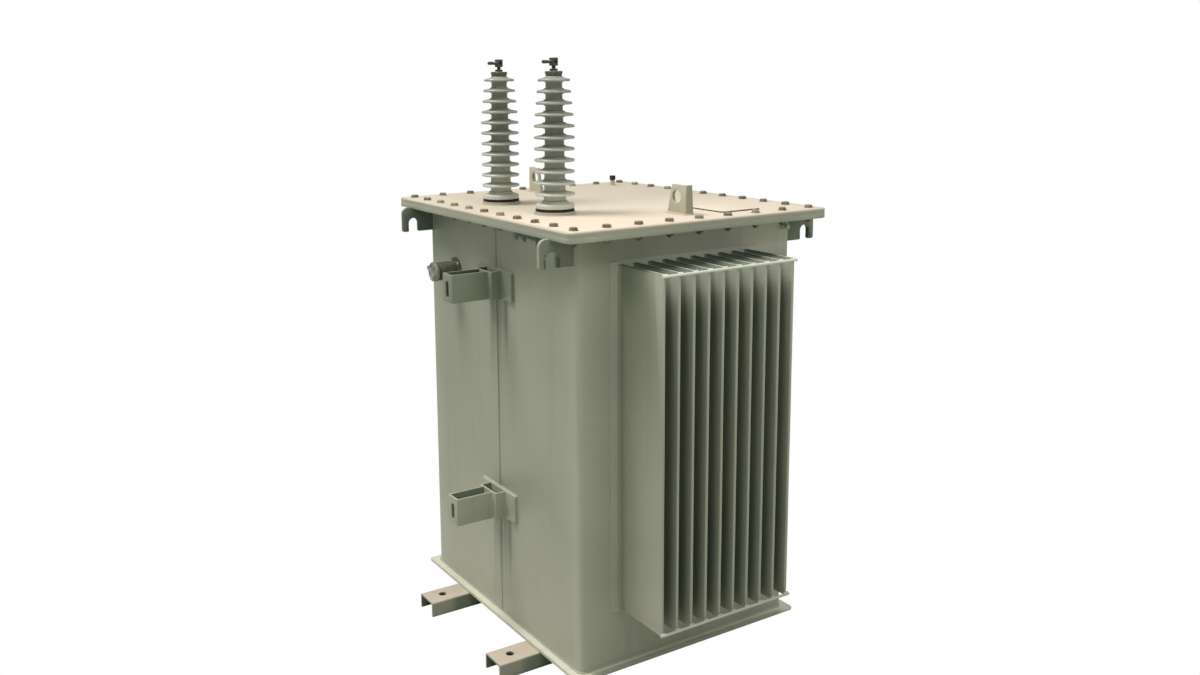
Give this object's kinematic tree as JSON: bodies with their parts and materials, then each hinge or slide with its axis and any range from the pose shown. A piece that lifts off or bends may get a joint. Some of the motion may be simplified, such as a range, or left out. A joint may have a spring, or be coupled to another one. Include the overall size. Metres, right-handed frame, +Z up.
{
  "type": "pole mounted transformer",
  "caption": "Pole mounted transformer with a rectangular finned oil tank, bolted cover, two high voltage bushings, pole hanger brackets and channel skids.",
  "frame": {"origin": "on the floor under the middle of the tank, at the bottom of the skids", "axes": "+Z up, -Y towards the pole brackets, +X and -X towards the two fin banks"},
  "size_m": [1.184, 0.978, 1.605],
  "materials": {
    "tank_paint": "satin grey-green enamel over sheet steel",
    "cover_paint": "satin light grey enamel",
    "skid_paint": "satin grey enamel, scuffed",
    "porcelain": "light grey glaze",
    "collar_paint": "grey enamel",
    "cap_metal": "dull cast cap",
    "terminal_metal": "tarnished dark",
    "gasket_rubber": "matt black",
    "plug_plastic": "matt black",
    "knob_metal": "dull cast",
    "housing_metal": "dark enamel"
  },
  "bodies": {
    "transformer": {"base_plate": "skid_paint", "bracket_hanger_lower": "tank_paint", "bracket_hanger_upper": "tank_paint", "bracket_pad_lower": "tank_paint", "bracket_pad_upper": "tank_paint", "bracket_saddle_lower": "tank_paint", "bracket_saddle_upper": "tank_paint", "bushing_cap_left": "cap_metal", "bushing_cap_right": "cap_metal", "bushing_collar_left": "collar_paint", "bushing_collar_right": "collar_paint", "bushing_gasket_left": "gasket_rubber", "bushing_gasket_right": "gasket_rubber", "bushing_porcelain_left": "porcelain", "bushing_porcelain_right": "porcelain", "bushing_seat_left": "cover_paint", "bushing_seat_right": "cover_paint", "bushing_terminal_left": "terminal_metal", "bushing_terminal_right": "terminal_metal", "cover_gasket": "gasket_rubber", "cover_lug_left": "cover_paint", "cover_lug_right": "cover_paint", "cover_plate": "cover_paint", "earth_boss": "tank_paint", "filler_neck": "cover_paint", "filler_plug": "plug_plastic", "fin_panel_left": "tank_paint", "fin_panel_right": "tank_paint", "fin_tip_bars_left": "tank_paint", "fin_tip_bars_right": "tank_paint", "fins_left": "tank_paint", "fins_right": "tank_paint", "hand_hole_cover": "cover_paint", "lifting_hook_far_side_left": "tank_paint", "lifting_hook_far_side_right": "tank_paint", "lifting_hook_pole_side_left": "tank_paint", "lifting_hook_pole_side_right": "tank_paint", "skid_left": "skid_paint", "skid_right": "skid_paint", "tank_body": "tank_paint", "tank_flange": "tank_paint", "tap_changer_housing": "housing_metal"},
    "tap_changer_knob": {"tap_changer_knob": "knob_metal"}
  },
  "joints": [
    {"name": "tap_changer_turn", "type": "hinge", "parent": "transformer", "child": "tap_changer_knob", "pos_m": [-0.242, -0.407, 1.006], "axis": [0, -1, 0], "range_deg": [-60, 60]}
  ]
}
